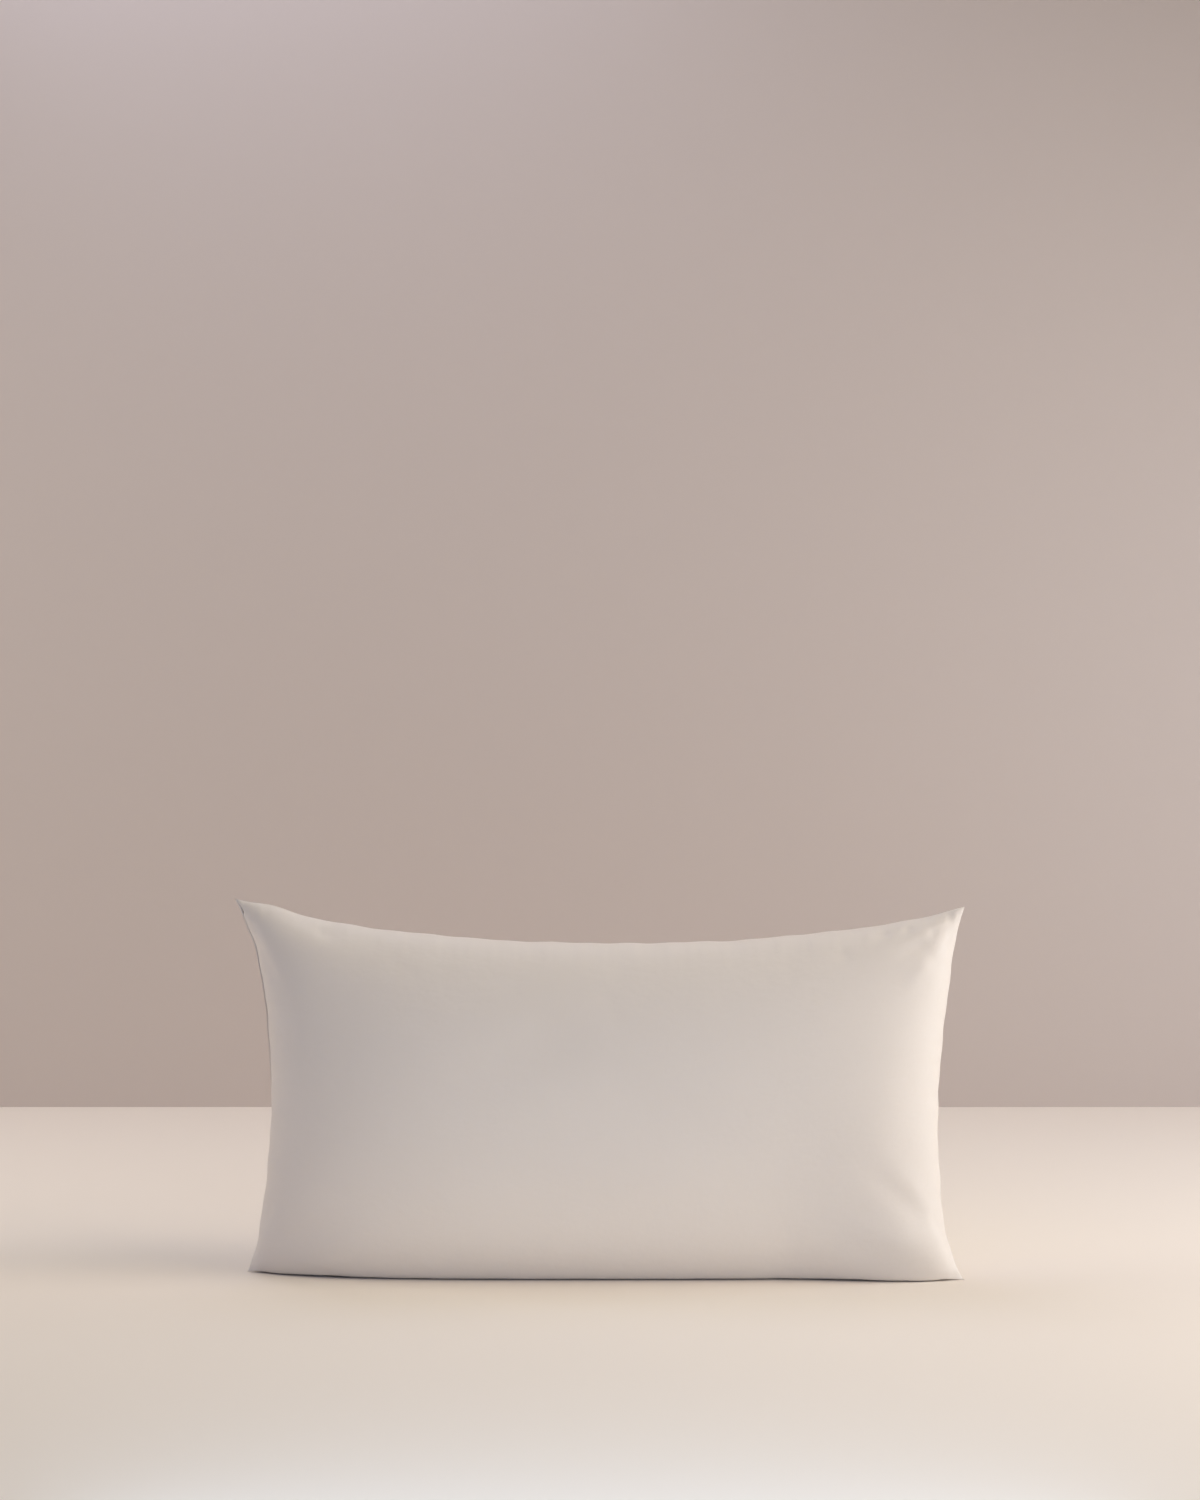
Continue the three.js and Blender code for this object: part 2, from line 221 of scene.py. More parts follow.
def full_form(u, v):
    """The filled pillow with no wrinkles: x, half the thickness and the height before the floor stops it."""
    bow = np.where(u < 0, np.where(v < 0, *LEFT_BOW), np.where(v < 0, *RIGHT_BOW))
    drawn_in = (1 - np.abs(v) ** bow) ** BOW_BLUNT
    lean = np.where(u < 0, LEFT_LEAN, RIGHT_LEAN) * ((1 - v) / 2) ** 3
    ends = np.where(u < 0, LEFT_PULL, RIGHT_PULL) * drawn_in + lean
    x = u * SPAN / 2 - np.sign(u) * ends * np.abs(u) ** END_POWER
    tips = cad_high.z - LEFT_DROP - (RIGHT_DROP - LEFT_DROP) * (u + 1) / 2
    top = tips - TOP_SAG * (1 - np.abs(u) ** SAG_POWER)
    top += LEFT_EAR_RISE * np.exp(-(((1 + u) * SPAN / 2 - LEFT_EAR_AT) / LEFT_EAR_REACH) ** 2)
    bottom = -TIP_SINK - (BASE_SINK - TIP_SINK) * (1 - np.abs(u) ** SINK_POWER)
    z = bottom + (top - bottom) * (v + 1) / 2
    along_ends = np.clip(1 - np.abs(u) ** END_ROUND, 0, 1) ** END_BLUNT
    along_edges = np.clip(1 - np.abs(v) ** EDGE_ROUND, 0, 1) ** (EDGE_BLUNT - SPREAD * smoothstep(-v))
    from_tip = np.hypot((1 - np.abs(u)) * SPAN / 2, (1 - np.abs(v)) * HEIGHT / 2)
    ear = 1 - EAR_FLAT * np.exp(-(from_tip / EAR_REACH) ** 2)
    return x, LOFT / 2 * along_ends * along_edges * ear, z


def middle(u, v):
    """How far the cloth between the two faces lies behind the origin: the lower right ear comes forward."""
    return -SWAY * smoothstep((u - 0.45) / 0.55) * (np.clip(1 - v, 0, 2) / 2) ** 2


def evenly_along(profile, count):
    """Coordinates from seam to seam that lie evenly along the cloth."""
    fine = np.sin(np.linspace(-math.pi / 2, math.pi / 2, 4001))
    p, q = profile(fine)
    run = np.concatenate([[0.0], np.cumsum(np.hypot(np.diff(p), np.diff(q)))])
    return np.interp(np.linspace(0, run[-1], count), run, fine)


def form_grid(across, up):
    """The form's coordinates and the points of its two faces, over an even grid."""
    us = evenly_along(lambda t: full_form(t, t * 0)[:2], across)
    vs = evenly_along(lambda t: full_form(t * 0, t)[:0:-1], up)
    u, v = np.meshgrid(us, vs)
    x, half, z = full_form(u, v)
    recess = SEAM_RECESS * (1 - smoothstep(half / GROOVE)) * smoothstep((1 - np.abs(u)) * SPAN / 2 / 0.05)
    above = z - recess
    z = recess + (above + np.sqrt(above ** 2 + BASE_EASE ** 2)) / 2
    return us, vs, {side: np.stack([x, middle(u, v) + side * half, z], -1) for side in (FRONT, BACK)}


def grid_faces(index):
    return np.stack([index[:-1, :-1], index[:-1, 1:], index[1:, 1:], index[1:, :-1]], -1).reshape(-1, 4)


def eased(field, reach):
    """A field over the cloth's grid, averaged over a distance of about reach cells."""
    offsets = np.arange(-3 * reach, 3 * reach + 1)
    weights = np.exp(-0.5 * (offsets / reach) ** 2)
    weights /= weights.sum()
    for axis in (0, 1):
        pad = [(0, 0)] * field.ndim
        pad[axis] = (3 * reach, 3 * reach)
        wide = np.pad(field, pad, mode="edge")
        count = field.shape[axis]
        field = sum(w * wide.take(range(k, k + count), axis=axis) for k, w in enumerate(weights))
    return field


def read_grid(field, us, vs, u, v):
    """A field over the grid of us and vs, read at any cloth coordinates."""
    u, v = np.broadcast_arrays(u, v)
    column = np.clip(np.interp(u, us, np.arange(len(us))), 0, len(us) - 1.001)
    row = np.clip(np.interp(v, vs, np.arange(len(vs))), 0, len(vs) - 1.001)
    i, j = column.astype(int), row.astype(int)
    s, t = (column - i)[..., None], (row - j)[..., None]
    low = field[j, i] * (1 - s) + field[j, i + 1] * s
    high = field[j + 1, i] * (1 - s) + field[j + 1, i + 1] * s
    return low * (1 - t) + high * t


# The slack. A coarse bag with the form's shape is blown up against its flat cut for some frames. Only its
# wrinkles are kept: what is longer than them belongs to the form.
BAG_ACROSS = 129
BAG_UP = 73
SLACK_LENGTH = 0.892     # the cut in wear, less the give of the weave
SLACK_WIDTH = 0.504
WRINKLE_FRAMES = 20
WRINKLE_REACH = 6        # in cells of the bag
WRINKLE_CAP = 0.005


def settled_bag(points, flat, faces, frames):
    """Where the points of a closed cloth bag lie after that many frames under pressure."""
    bag = object_from("bag", points, faces)
    bag.shape_key_add(name="filled")
    cut = bag.shape_key_add(name="cut")
    cut.data.foreach_set("co", flat.ravel())
    bag.active_shape_key_index = 0
    cloth = bag.modifiers.new("cloth", "CLOTH")
    settings = cloth.settings
    settings.quality = 6
    settings.mass = 0.05
    settings.air_damping = 4.0
    settings.tension_stiffness = settings.compression_stiffness = 20.0
    settings.shear_stiffness = 4.0
    settings.bending_stiffness = 2.0
    settings.tension_damping = settings.compression_damping = settings.shear_damping = 10.0
    settings.use_pressure = True
    settings.uniform_pressure_force = 3.0
    settings.effector_weights.gravity = 0.0
    settings.rest_shape_key = cut
    cloth.collision_settings.use_collision = False
    for step in range(1, frames + 1):
        bpy.context.scene.frame_set(step)
    shaped = bag.evaluated_get(bpy.context.evaluated_depsgraph_get())
    moved = np.empty(len(points) * 3)
    shaped.data.vertices.foreach_get("co", moved)
    bpy.context.scene.frame_set(1)
    bpy.data.objects.remove(bag)
    return moved.reshape(-1, 3)


us, vs, case = form_grid(ACROSS, UP)
grid_u, grid_v = np.meshgrid(us, vs)
form_x, form_z = case[FRONT][..., 0].copy(), case[FRONT][..., 2].copy()
from_end = (1 - np.abs(grid_u)) * SPAN / 2
from_edge = (1 - np.abs(grid_v)) * HEIGHT / 2
bag_us, bag_vs, bag_form = form_grid(BAG_ACROSS, BAG_UP)
inner = np.zeros((BAG_UP, BAG_ACROSS), bool)
inner[1:-1, 1:-1] = True
front_index = np.arange(inner.size).reshape(inner.shape)
back_index = front_index.copy()
back_index[inner] = inner.size + np.arange(inner.sum())
bag_points = np.concatenate([bag_form[FRONT].reshape(-1, 3), bag_form[BACK][inner]])
cut_x, cut_z = np.meshgrid(np.linspace(-0.5, 0.5, BAG_ACROSS) * SLACK_LENGTH,
                           np.linspace(-0.5, 0.5, BAG_UP) * SLACK_WIDTH)
cut_grid = np.stack([cut_x, np.zeros_like(cut_x), cut_z], -1)
cut_points = np.concatenate([cut_grid.reshape(-1, 3), cut_grid[inner]])
bag_faces = np.concatenate([grid_faces(front_index), grid_faces(back_index)[:, ::-1]])
drift = settled_bag(bag_points, cut_points, bag_faces, WRINKLE_FRAMES) - bag_points
near_corner = np.exp(-(np.hypot(from_end, from_edge) / 0.13) ** 2)
near_seam = np.exp(-np.minimum(from_end, from_edge) / 0.02)
strength = 0.12 + 0.75 * near_corner + 0.25 * near_seam
strength *= 0.2 + 0.8 * smoothstep((np.hypot(from_end, from_edge) - 0.01) / 0.05)
for side, index in ((FRONT, front_index), (BACK, back_index)):
    wrinkles = drift[index] - eased(drift[index], WRINKLE_REACH)
    wrinkles = eased(read_grid(wrinkles, bag_us, bag_vs, grid_u, grid_v), 1)
    size = np.linalg.norm(wrinkles, axis=-1, keepdims=True)
    wrinkles *= WRINKLE_CAP * np.tanh(size / WRINKLE_CAP) / np.maximum(size, 1e-9)
    case[side] += wrinkles * (strength if side == FRONT else 0.6 * strength + 0.25)[..., None]


def crease(side, start, end, width, depth):
    """A soft valley, or with a negative depth a ridge, in one face between two places, each an (x, z)."""
    run = np.subtract(end, start)
    t = ((form_x - start[0]) * run[0] + (form_z - start[1]) * run[1]) / (run @ run)
    off = np.hypot(form_x - start[0] - t * run[0], form_z - start[1] - t * run[1])
    taper = smoothstep(t / 0.35) * smoothstep((1 - t) / 0.65)
    case[side][..., 1] -= side * depth * taper * np.exp(-(off / width) ** 2)


# Drag lines run out of the corners, and the upper right ear has a few dimples.
for start, end, width, depth in (
        ((0.400, 0.412), (0.386, 0.392), 0.005, 0.0016), ((0.372, 0.414), (0.352, 0.398), 0.005, 0.0030),
        ((0.400, 0.398), (0.335, 0.372), 0.008, 0.0026), ((0.395, 0.372), (0.352, 0.345), 0.009, -0.0020),
        ((0.345, 0.408), (0.322, 0.396), 0.005, 0.0020), ((0.300, 0.385), (0.262, 0.372), 0.008, 0.0014),
        ((0.405, 0.050), (0.290, 0.150), 0.016, 0.0035), ((0.395, 0.030), (0.250, 0.085), 0.018, -0.0028),
        ((-0.405, 0.412), (-0.290, 0.365), 0.015, -0.0010), ((-0.405, 0.395), (-0.345, 0.330), 0.014, 0.0014),
        ((-0.385, 0.030), (-0.280, 0.085), 0.016, 0.0016), ((0.020, 0.300), (-0.250, 0.215), 0.030, 0.0020),
        ((0.180, 0.120), (-0.120, 0.150), 0.035, -0.0020)):
    crease(FRONT, start, end, width, depth)
for start, end, width, depth in (
        ((-0.400, 0.395), (-0.310, 0.350), 0.009, 0.0030), ((-0.395, 0.372), (-0.340, 0.300), 0.010, -0.0024),
        ((0.405, 0.400), (0.310, 0.350), 0.011, 0.0030), ((0.400, 0.050), (0.290, 0.110), 0.014, 0.0030),
        ((-0.390, 0.045), (-0.290, 0.100), 0.014, 0.0026), ((0.395, 0.380), (0.340, 0.290), 0.012, -0.0024),
        ((-0.100, 0.300), (0.160, 0.230), 0.030, 0.0022)):
    crease(BACK, start, end, width, depth)


def waver(run, lengths, phase):
    """An uneven wave along a seam, from -1 to 1."""
    waves = (np.sin(2 * math.pi * run / length + phase * (n + 1)) for n, length in enumerate(lengths))
    return sum(waves) / len(lengths)


# The seams' own puckers: the stitching draws the cloth up, so it puffs a little just beside the seam, and the
# seam wavers.
PUCKER = 0.0009
WAVER = 0.0009
along_edge = np.sign(grid_v) * 0.3 + form_x
along_end = np.sign(grid_u) * 0.7 + form_z
for side in (FRONT, BACK):
    beside_edge = from_edge / 0.006 * np.exp(1 - from_edge / 0.006)
    beside_end = from_end / 0.006 * np.exp(1 - from_end / 0.006)
    puff = beside_edge * waver(along_edge, (0.0131, 0.0213, 0.0347), 1.7 + side)
    puff += beside_end * waver(along_end, (0.0117, 0.0191, 0.0293), 2.3 - side)
    case[side][..., 1] += side * PUCKER * puff
    case[side][..., 2] += WAVER * np.exp(-from_edge / 0.02) * waver(along_edge, (0.047, 0.083, 0.141), 0.9)
    case[side][..., 0] += WAVER * np.exp(-from_end / 0.02) * waver(along_end, (0.039, 0.071, 0.127), 2.1)

# The turned hem stands a little proud at the back of the open end, and its stitching draws it in.
HEM_DEPTH = 0.035
HEM_STITCH_IN = 0.032
HEM_RISE = 0.0009
HEM_DRAW = 0.0013
from_mouth = np.broadcast_to(np.arange(ACROSS) * CUT_LENGTH / ACROSS, grid_u.shape)
from_stitch = from_mouth - HEM_STITCH_IN
hem_relief = HEM_RISE * (1 - smoothstep((from_stitch + 0.004) / 0.008)) * smoothstep(from_mouth / 0.01)
hem_relief -= HEM_DRAW * np.exp(-(from_stitch / 0.0045) ** 2)
hem_puckers = np.exp(-(from_stitch / 0.012) ** 2) * waver(form_z, (0.0113, 0.0171, 0.0287), 1.3)
hem_relief += PUCKER * hem_puckers
case[BACK][..., 1] += hem_relief * smoothstep(from_edge / 0.03)

# The two faces meet in the seams. At the open end nothing holds them: the back one's lip shows past the front
# fold, and at the upper corner the front one is turned in, so that the back one's hem shows.
LIP = 0.0014             # how far the back's lip shows past the front fold
TURN_IN = 0.003
seam = (case[FRONT] + case[BACK]) / 2
lip = smoothstep((grid_v + 0.15) / 0.35) * smoothstep(from_edge / 0.03)
for side in (FRONT, BACK):
    for rim in (np.s_[0, :], np.s_[-1, :], np.s_[:, 0], np.s_[:, -1]):
        case[side][rim] = seam[rim]
    half = np.maximum(side * (case[side][..., 1] - middle(grid_u, grid_v)), GAP / 2)
    if side == BACK:
        half *= 1 - lip * (1 - smoothstep(from_mouth / 0.014))
        half = np.maximum(half, GAP / 2)
    case[side][..., 1] = middle(grid_u, grid_v) + side * half
    case[side][..., 2] = np.maximum(case[side][..., 2], 0.0)
case[BACK][..., 0] -= LIP * lip * np.exp(-(from_mouth / 0.007) ** 2)
turned_in = np.exp(-(from_mouth / 0.012) ** 2) * smoothstep(from_edge / 0.004)
turned_in *= smoothstep((0.020 - from_edge) / 0.006)
case[FRONT][..., 0] += TURN_IN * turned_in * (grid_v > 0)

# Outward directions. Past a seam the cloth carries on over the other face.
outward = {}
for side in (FRONT, BACK):
    wide = np.zeros((UP + 2, ACROSS + 2, 3))
    wide[1:-1, 1:-1] = case[side]
    wide[0, 1:-1], wide[-1, 1:-1] = case[-side][1], case[-side][-2]
    wide[1:-1, 0], wide[1:-1, -1] = case[-side][:, 1], case[-side][:, -2]
    normal = -side * np.cross(wide[1:-1, 2:] - wide[1:-1, :-2], wide[2:, 1:-1] - wide[:-2, 1:-1])
    size = np.linalg.norm(normal, axis=-1, keepdims=True)
    by_corner = np.stack([np.sign(grid_u), 0 * grid_u, np.sign(grid_v)], -1) / math.sqrt(2)
    outward[side] = np.where(size > 1e-8, normal / np.maximum(size, 1e-8), by_corner)


EDGE_RADIUS = 0.030      # how soon the insert and its filling reach their full thickness
INSERT_LIFT = 0.0182     # the insert's bottom edge above the floor


def fullness(room, radius):
    """How full a layer is at a distance in from its rim, from 0 to 1."""
    return np.sqrt(1 - (1 - np.clip(room / radius, 0, 1)) ** 2)


def under(side, u, v, depth, inset=0.0, edge=GAP / 2):
    """Points at a depth under the case's outside. A layer with an inset has a rounded rim there, held up off
    the floor. Nothing crosses to the other face's half."""
    u, v = np.broadcast_arrays(u, v)
    depth = np.broadcast_to(depth, u.shape)
    point = read_grid(case[side], us, vs, u, v) - read_grid(outward[side], us, vs, u, v) * depth[..., None]
    half = side * (point[..., 1] - middle(u, v))
    lowest = 0.0
    if inset:
        near_end = fullness((1 - np.abs(u)) * SPAN / 2 - inset, EDGE_RADIUS)
        near_edge = fullness((1 - np.abs(v)) * HEIGHT / 2 - inset, EDGE_RADIUS)
        half = half * near_end * near_edge
        lowest = np.where(v < 0, depth + INSERT_LIFT * (1 - near_edge), 0.0)
    point[..., 1] = middle(u, v) + side * np.maximum(half, edge)
    point[..., 2] = np.maximum(point[..., 2], lowest)
    return point


def map_cloth(mesh, places):
    corners = np.empty(len(mesh.loops), int)
    mesh.loops.foreach_get("vertex_index", corners)
    mesh.uv_layers.new(name="cloth").data.foreach_set("uv", places[corners].ravel())


def shell(name, outer, inner, side, cloth_map):
    """A closed body between two faces over the same grid, with a map of its cloth in metres."""
    count = outer.shape[0] * outer.shape[1]
    near = np.arange(count).reshape(outer.shape[:2])
    rim = np.concatenate([near[0, :-1], near[:-1, -1], near[-1, :0:-1], near[:0:-1, 0]])
    step = np.roll(rim, -1)
    edges = np.stack([step, rim, rim + count, step + count], -1)
    faces = np.concatenate([grid_faces(near), grid_faces(near + count)[:, ::-1], edges])
    if side == BACK:
        faces = faces[:, ::-1]
    made = object_from(name, np.concatenate([outer.reshape(-1, 3), inner.reshape(-1, 3)]), faces)
    map_cloth(made.data, np.concatenate([cloth_map.reshape(-1, 2)] * 2))
    return made


def cloth_places(u, v):
    """Where a point of the case lies on the flat cut."""
    u, v = np.broadcast_arrays(u, v)
    return np.stack([np.interp(u, us, np.linspace(0, CUT_LENGTH, ACROSS)),
                     np.interp(v, vs, np.linspace(0, CUT_WIDTH, UP))], -1)


def new_group(name, inputs, outputs):
    group = bpy.data.node_groups.new(name, "ShaderNodeTree")
    for label, kind in inputs.items():
        group.interface.new_socket(label, in_out="INPUT", socket_type="NodeSocket" + kind)
    for label in outputs:
        group.interface.new_socket(label, in_out="OUTPUT", socket_type="NodeSocketFloat")
    return group, group.nodes.new("NodeGroupInput").outputs, group.nodes.new("NodeGroupOutput").inputs


def join(tree, value, socket):
    """Sets a socket to a number, or links another socket to it."""
    if isinstance(value, bpy.types.NodeSocket):
        tree.links.new(value, socket)
    else:
        socket.default_value = value


def sums(tree, operation, *values):
    node = tree.nodes.new("ShaderNodeMath")
    node.operation = operation
    for value, socket in zip(values, node.inputs):
        join(tree, value, socket)
    return node.outputs[0]


def vector_sums(tree, operation, a, b):
    node = tree.nodes.new("ShaderNodeVectorMath")
    node.operation = operation
    join(tree, a, node.inputs[0])
    join(tree, b, node.inputs[1])
    return node.outputs[0]


def noise(tree, place, scale, detail, stretch=(1.0, 1.0, 1.0)):
    node = tree.nodes.new("ShaderNodeTexNoise")
    node.inputs["Scale"].default_value = scale
    node.inputs["Detail"].default_value = detail
    join(tree, vector_sums(tree, "MULTIPLY", place, stretch), node.inputs["Vector"])
    return node.outputs["Fac"]


# Weave: warp yarns side by side, each passing over some wefts, and yarns of uneven thickness.
weave, given, put = new_group(
    "weave", {"Cloth": "Vector", "Yarns per Metre": "Float", "Passes Over": "Float"}, ("Height", "Slubs"))
tree = weave
scaled = tree.nodes.new("ShaderNodeVectorMath")
scaled.operation = "SCALE"
join(tree, given["Cloth"], scaled.inputs[0])
join(tree, given["Yarns per Metre"], scaled.inputs["Scale"])
parts = tree.nodes.new("ShaderNodeSeparateXYZ")
join(tree, scaled.outputs[0], parts.inputs[0])
warp = sums(tree, "SINE", sums(tree, "MULTIPLY", parts.outputs["Y"], 2 * math.pi))
diagonal = sums(tree, "ADD", parts.outputs["X"], sums(tree, "MULTIPLY", parts.outputs["Y"], 2.0))
steps = sums(tree, "DIVIDE", diagonal, given["Passes Over"])
passes = sums(tree, "SINE", sums(tree, "MULTIPLY", steps, 2 * math.pi))
both = sums(tree, "ADD", sums(tree, "MULTIPLY", warp, 0.3), sums(tree, "MULTIPLY", passes, 0.2))
join(tree, sums(tree, "ADD", both, 0.5), put["Height"])
along = noise(tree, given["Cloth"], 60.0, 2.0, (1.0, 14.0, 1.0))
across = noise(tree, given["Cloth"], 60.0, 2.0, (14.0, 1.0, 1.0))
join(tree, sums(tree, "MULTIPLY", sums(tree, "ADD", along, across), 0.5), put["Slubs"])

# Handling: the soft crumples and faint patches that washing and handling leave in cloth.
handling, given, put = new_group("handling", {"Cloth": "Vector"}, ("Crumples", "Patches"))
tree = handling
large = noise(tree, given["Cloth"], 22.0, 3.0, (1.0, 1.6, 1.0))
small = noise(tree, given["Cloth"], 95.0, 2.0, (1.0, 1.3, 1.0))
crumples = sums(tree, "ADD", sums(tree, "MULTIPLY", large, 0.75), sums(tree, "MULTIPLY", small, 0.25))
join(tree, crumples, put["Crumples"])
join(tree, noise(tree, given["Cloth"], 9.0, 2.0), put["Patches"])


def use_group(tree, group, **values):
    node = tree.nodes.new("ShaderNodeGroup")
    node.node_tree = group
    for label, value in values.items():
        join(tree, value, node.inputs[label.replace("_", " ")])
    return node.outputs


def mixed(tree, share, a, b):
    node = tree.nodes.new("ShaderNodeMix")
    node.data_type = "RGBA"
    join(tree, share, node.inputs[0])
    join(tree, a, node.inputs[6])
    join(tree, b, node.inputs[7])
    return node.outputs[2]


def textile(name, light, dark, roughness, yarns, over=2.0, thread=0.00006, crumple=0.0006,
            sheen=0.2, gloss=0.3):
    """A woven cloth. thread and crumple are the heights of the weave and of the crumples, in metres."""
    cloth = bpy.data.materials.new(name)
    cloth.use_nodes = True
    tree = cloth.node_tree
    shader = tree.nodes["Principled BSDF"]
    place = tree.nodes.new("ShaderNodeUVMap")
    place.uv_map = "cloth"
    woven = use_group(tree, weave, Cloth=place.outputs[0], Yarns_per_Metre=float(yarns), Passes_Over=over)
    handled = use_group(tree, handling, Cloth=place.outputs[0])
    shade = sums(tree, "ADD", sums(tree, "MULTIPLY", woven["Slubs"], 0.55),
                 sums(tree, "MULTIPLY", handled["Patches"], 0.45))
    join(tree, mixed(tree, shade, (*light, 1.0), (*dark, 1.0)), shader.inputs["Base Color"])
    rough = sums(tree, "ADD", roughness - 0.05, sums(tree, "MULTIPLY", woven["Slubs"], 0.1))
    join(tree, rough, shader.inputs["Roughness"])
    height = sums(tree, "ADD", sums(tree, "MULTIPLY", woven["Height"], thread),
                  sums(tree, "MULTIPLY", handled["Crumples"], crumple))
    relief = tree.nodes.new("ShaderNodeBump")
    relief.inputs["Distance"].default_value = 1.0
    join(tree, height, relief.inputs["Height"])
    join(tree, relief.outputs[0], shader.inputs["Normal"])
    shader.inputs["Specular IOR Level"].default_value = gloss
    shader.inputs["Sheen Weight"].default_value = sheen
    shader.inputs["Sheen Roughness"].default_value = 0.45
    shader.inputs["Sheen Tint"].default_value = (*light, 1.0)
    return cloth


def fit(piece, material, slot, *nodes):
    """Gives a piece its material and its body, and hides the nodes that it stands for. The slot is not used.
    """
    piece.data.materials.append(material)
    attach(piece, "root")
    if nodes:
        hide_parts(*nodes)


case_sateen = textile("case_sateen", (0.83, 0.775, 0.715), (0.79, 0.735, 0.675), 0.5, 3200, over=5.0,
                      thread=0.00003, crumple=0.0008, sheen=0.25, gloss=0.35)
sateen_places = cloth_places(grid_u, grid_v)
for side, name, lies_on in ((FRONT, "case_front", "ticking_front_panel"),
                            (BACK, "case_back", "ticking_back_panel")):
    lining = under(side, grid_u, grid_v, CLOTH, edge=GAP / 3)
    panel = shell(name, under(side, grid_u, grid_v, 0.0), lining, side, sateen_places)
    fit(panel, case_sateen, "case_cloth", name + "_panel")


# --------------------------------------------------------------------------------------------------------
# Mouth. At the open end the back panel has a hem turned under and lockstitched, and the front panel carries
# on as a deep flap that is tucked in behind that hem, over the end of the insert.
FLAP_DEPTH = 0.180
SEAM_CLEAR = 0.020       # how far the hem and the flap stop short of the long seams
HEM_TOP = CLOTH + GAP
FLAP_TOP = HEM_TOP + CLOTH + GAP
STITCH = 0.0032          # a stitch and its thread
STITCH_GAP = 0.0006
THREAD = 0.00042


def cells(low, high, known, count):
    """Coordinates from low to high that lie evenly along the cloth."""
    ends = np.interp((low, high), known, np.arange(len(known)))
    return np.interp(np.linspace(*ends, count), np.arange(len(known)), known)


def threads(name, paths, radius, sides=5):
    """Closed round threads along paths, each an array of points."""
    points, faces = [], []
    total = 0
    angles = 2 * math.pi * np.arange(sides) / sides
    for path in paths:
        way = np.gradient(path, axis=0)
        way /= np.maximum(np.linalg.norm(way, axis=1, keepdims=True), 1e-12)
        apart = np.cross(way, (0.31, 0.17, 0.93))
        apart /= np.maximum(np.linalg.norm(apart, axis=1, keepdims=True), 1e-12)
        third = np.cross(way, apart)
        spokes = apart[:, None] * np.cos(angles)[:, None] + third[:, None] * np.sin(angles)[:, None]
        points.append((path[:, None] + radius * spokes).reshape(-1, 3))
        index = total + np.arange(len(path) * sides).reshape(len(path), sides)
        turned = np.roll(index, -1, axis=1)
        faces += np.stack([index[:-1], turned[:-1], turned[1:], index[1:]], -1).reshape(-1, 4).tolist()
        faces += [index[0, ::-1].tolist(), index[-1].tolist()]
        total += len(path) * sides
    return object_from(name, np.concatenate(points), faces)


def stitches(name, line, lift, out):
    """A row of lockstitches along a line of points, standing a little out of the cloth."""
    run = np.concatenate([[0.0], np.cumsum(np.linalg.norm(np.diff(line, axis=0), axis=1))])
    starts = np.arange(STITCH, run[-1] - STITCH, STITCH + STITCH_GAP)
    arch = np.array((-0.6, 0.6, 1.0, 0.6, -0.6))
    paths = []
    for start in starts:
        at = start + np.linspace(0, STITCH, len(arch))
        path = np.stack([np.interp(at, run, line[:, k]) for k in range(3)], -1)
        away = np.stack([np.interp(at, run, out[:, k]) for k in range(3)], -1)
        paths.append(path + away * (lift * arch)[:, None])
    return threads(name, paths, THREAD / 2)


clear = 1 - SEAM_CLEAR / (HEIGHT / 2)
mouth_rows = cells(-clear, clear, vs, 96)
for name, lies_on, depth, top, count in (("mouth_hem", "case_back", HEM_DEPTH, HEM_TOP, 12),
                                         ("tuck_flap", "mouth_hem", FLAP_DEPTH, FLAP_TOP, 42)):
    u, v = np.meshgrid(cells(-1, -1 + depth / (SPAN / 2), us, count), mouth_rows)
    ply = shell(name, under(BACK, u, v, top), under(BACK, u, v, top + CLOTH), BACK, cloth_places(u, v))
    fit(ply, case_sateen, "case_cloth", "case_" + name)

thread_white = textile("seam_thread", (0.80, 0.74, 0.66), (0.70, 0.64, 0.56), 0.55, 900,
                       thread=0.0, crumple=0.0)
line_v = np.linspace(-clear, clear, 400)
line_u = np.full_like(line_v, np.interp(HEM_STITCH_IN, from_mouth[0], us))
hem_line = read_grid(case[BACK], us, vs, line_u, line_v)
hem_out = read_grid(outward[BACK], us, vs, line_u, line_v)
fit(stitches("hem_stitches", hem_line, 0.0003, hem_out), thread_white, "overlock_thread")


